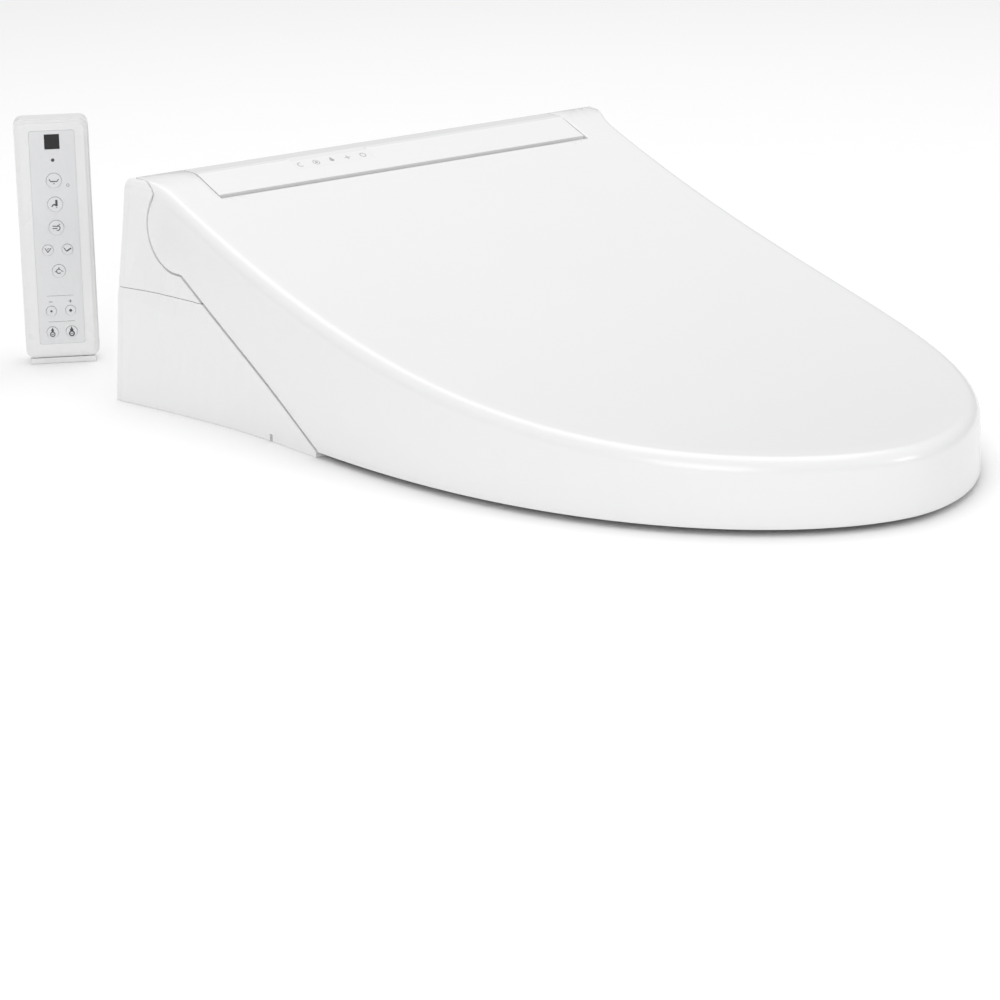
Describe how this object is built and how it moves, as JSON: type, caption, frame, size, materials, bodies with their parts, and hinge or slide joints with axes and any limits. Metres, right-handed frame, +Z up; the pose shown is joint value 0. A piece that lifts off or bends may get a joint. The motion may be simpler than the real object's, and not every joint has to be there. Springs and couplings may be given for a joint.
{
  "type": "electric bidet seat",
  "caption": "Electric bidet seat: sloping hinged lid over a heated seat ring, rear wash-and-dry unit with sliding wand, and a remote control standing in its holder.",
  "frame": {"origin": "midway between the two fixing holes, on the plane of the pan rim", "axes": "+Z up, -Y towards the front of the seat, +X to the right when looking at the seat from its front"},
  "size_m": [0.4184, 0.6669, 0.169],
  "materials": {
    "lower_case": "satin white",
    "upper_case": "satin white",
    "top_panel": "glossy white",
    "indicator_lens": "smoked clear window",
    "hinge_pins": "turned",
    "lid_damper": "moulded",
    "seat_damper": "moulded",
    "case_screws": "zinc plated",
    "mounting_plate": "moulded",
    "bolt_adjusters": "moulded",
    "water_inlet": "nickel over brass",
    "cable_gland": "moulded",
    "inlet_valve": "moulded",
    "water_heater": "moulded",
    "water_pump": "moulded",
    "main_board": "circuit board",
    "power_board": "circuit board",
    "wand_track": "moulded",
    "wand_motor": "pressed",
    "fan_housing": "moulded",
    "fan_motor": "pressed",
    "air_duct": "moulded",
    "air_heater": "mica and wire",
    "rc_holder": "moulded",
    "lid_shell": "glossy white moulded plastic",
    "lid_buffers": "soft pad",
    "seat_top": "glossy white",
    "seat_base": "satin white",
    "seat_heater": "foil heater",
    "seat_buffers": "soft pad",
    "wand_tube": "polished",
    "wand_tip": "glossy",
    "wand_pinion": "tyre",
    "wand_gate": "satin white",
    "fan_rotor": "moulded",
    "dryer_flap": "satin white",
    "filter_drawer": "moulded",
    "release_button": "moulded",
    "rc_front": "satin white",
    "rc_back": "satin white",
    "rc_panel": "pale grey film",
    "rc_board": "circuit board",
    "rc_cells": "wrapped cell",
    "rc_window": "dark window",
    "rc_cover": "satin white",
    "key_stop": "pale grey",
    "key_rear": "pale grey",
    "key_front": "pale grey",
    "key_less": "pale grey",
    "key_more": "pale grey",
    "key_dryer": "pale grey",
    "key_move": "pale grey",
    "key_temp": "pale grey",
    "key_user_a": "pale grey",
    "key_user_b": "pale grey"
  },
  "bodies": {
    "base": {"lower_case": "lower_case", "upper_case": "upper_case", "top_panel": "top_panel", "indicator_lens": "indicator_lens", "hinge_pins": "hinge_pins", "lid_damper": "lid_damper", "seat_damper": "seat_damper", "case_screws": "case_screws", "mounting_plate": "mounting_plate", "bolt_adjusters": "bolt_adjusters", "water_inlet": "water_inlet", "cable_gland": "cable_gland", "inlet_valve": "inlet_valve", "water_heater": "water_heater", "water_pump": "water_pump", "main_board": "main_board", "power_board": "power_board", "wand_track": "wand_track", "wand_motor": "wand_motor", "fan_housing": "fan_housing", "fan_motor": "fan_motor", "air_duct": "air_duct", "air_heater": "air_heater", "rc_holder": "rc_holder"},
    "lid": {"lid_shell": "lid_shell", "lid_buffers": "lid_buffers"},
    "seat": {"seat_top": "seat_top", "seat_base": "seat_base", "seat_heater": "seat_heater", "seat_buffers": "seat_buffers"},
    "wand": {"wand_tube": "wand_tube", "wand_tip": "wand_tip"},
    "pinion": {"wand_pinion": "wand_pinion"},
    "gate": {"wand_gate": "wand_gate"},
    "fan": {"fan_rotor": "fan_rotor"},
    "flap": {"dryer_flap": "dryer_flap"},
    "filter": {"filter_drawer": "filter_drawer"},
    "release": {"release_button": "release_button"},
    "remote": {"rc_front": "rc_front", "rc_back": "rc_back", "rc_panel": "rc_panel", "rc_board": "rc_board", "rc_cells": "rc_cells", "rc_window": "rc_window"},
    "cell_cover": {"rc_cover": "rc_cover"},
    "key_stop": {"key_stop": "key_stop"},
    "key_rear": {"key_rear": "key_rear"},
    "key_front": {"key_front": "key_front"},
    "key_less": {"key_less": "key_less"},
    "key_more": {"key_more": "key_more"},
    "key_dryer": {"key_dryer": "key_dryer"},
    "key_move": {"key_move": "key_move"},
    "key_temp": {"key_temp": "key_temp"},
    "key_user_a": {"key_user_a": "key_user_a"},
    "key_user_b": {"key_user_b": "key_user_b"}
  },
  "joints": [
    {"name": "lid_hinge", "type": "hinge", "parent": "base", "child": "lid", "pos_m": [0, 0.003, 0.12269], "axis": [-1, 0, 0], "range_deg": [0, 108]},
    {"name": "seat_hinge", "type": "hinge", "parent": "base", "child": "seat", "pos_m": [0, -0.049, 0.09252], "axis": [-1, 0, 0], "range_deg": [0, 1.2]},
    {"name": "wand_slide", "type": "slide", "parent": "base", "child": "wand", "axis": [0, -0.866, -0.5], "range_m": [0, 0.115]},
    {"name": "pinion_spin", "type": "hinge", "parent": "base", "child": "pinion", "pos_m": [0.0167, 0.00278, 0.088], "axis": [0, -0.5, 0.866], "range_deg": [-5, 1200]},
    {"name": "gate_hinge", "type": "hinge", "parent": "base", "child": "gate", "pos_m": [0, -0.1222, 0.0345], "axis": [-1, 0, 0], "range_deg": [0, 104]},
    {"name": "fan_spin", "type": "hinge", "parent": "base", "child": "fan", "pos_m": [0.056, -0.015, 0.042], "axis": [1, 0, 0], "continuous": true},
    {"name": "flap_hinge", "type": "hinge", "parent": "base", "child": "flap", "pos_m": [0.062, -0.1222, 0.027], "axis": [-1, 0, 0], "range_deg": [0, 70]},
    {"name": "filter_slide", "type": "slide", "parent": "base", "child": "filter", "axis": [0, -1, 0], "range_m": [0, 0.03]},
    {"name": "release_press", "type": "slide", "parent": "base", "child": "release", "axis": [-1, 0, 0], "range_m": [0, 0.003], "stiffness_N_per_m": 900},
    {"name": "remote_slide", "type": "slide", "parent": "base", "child": "remote", "axis": [0, 0, 1], "range_m": [0, 0.06]},
    {"name": "cover_slide", "type": "slide", "parent": "remote", "child": "cell_cover", "axis": [0, 0, 1], "range_m": [0, 0.006]},
    {"name": "key_stop_press", "type": "slide", "parent": "remote", "child": "key_stop", "axis": [0.4848, 0.8746, 0], "range_m": [0, 0.0006], "stiffness_N_per_m": 800},
    {"name": "key_rear_press", "type": "slide", "parent": "remote", "child": "key_rear", "axis": [0.4848, 0.8746, 0], "range_m": [0, 0.0006], "stiffness_N_per_m": 800},
    {"name": "key_front_press", "type": "slide", "parent": "remote", "child": "key_front", "axis": [0.4848, 0.8746, 0], "range_m": [0, 0.0006], "stiffness_N_per_m": 800},
    {"name": "key_less_press", "type": "slide", "parent": "remote", "child": "key_less", "axis": [0.4848, 0.8746, 0], "range_m": [0, 0.0006], "stiffness_N_per_m": 800},
    {"name": "key_more_press", "type": "slide", "parent": "remote", "child": "key_more", "axis": [0.4848, 0.8746, 0], "range_m": [0, 0.0006], "stiffness_N_per_m": 800},
    {"name": "key_dryer_press", "type": "slide", "parent": "remote", "child": "key_dryer", "axis": [0.4848, 0.8746, 0], "range_m": [0, 0.0006], "stiffness_N_per_m": 800},
    {"name": "key_move_press", "type": "slide", "parent": "remote", "child": "key_move", "axis": [0.4848, 0.8746, 0], "range_m": [0, 0.0006], "stiffness_N_per_m": 800},
    {"name": "key_temp_press", "type": "slide", "parent": "remote", "child": "key_temp", "axis": [0.4848, 0.8746, 0], "range_m": [0, 0.0006], "stiffness_N_per_m": 800},
    {"name": "key_user_a_press", "type": "slide", "parent": "remote", "child": "key_user_a", "axis": [0.4848, 0.8746, 0], "range_m": [0, 0.0006], "stiffness_N_per_m": 800},
    {"name": "key_user_b_press", "type": "slide", "parent": "remote", "child": "key_user_b", "axis": [0.4848, 0.8746, 0], "range_m": [0, 0.0006], "stiffness_N_per_m": 800}
  ],
  "couplings": [
    {"joint": "pinion_spin", "follows": "wand_slide", "rad_per_m": 166.67},
    {"joint": "gate_hinge", "follows": "wand_slide", "rad_per_m": 15.48}
  ]
}
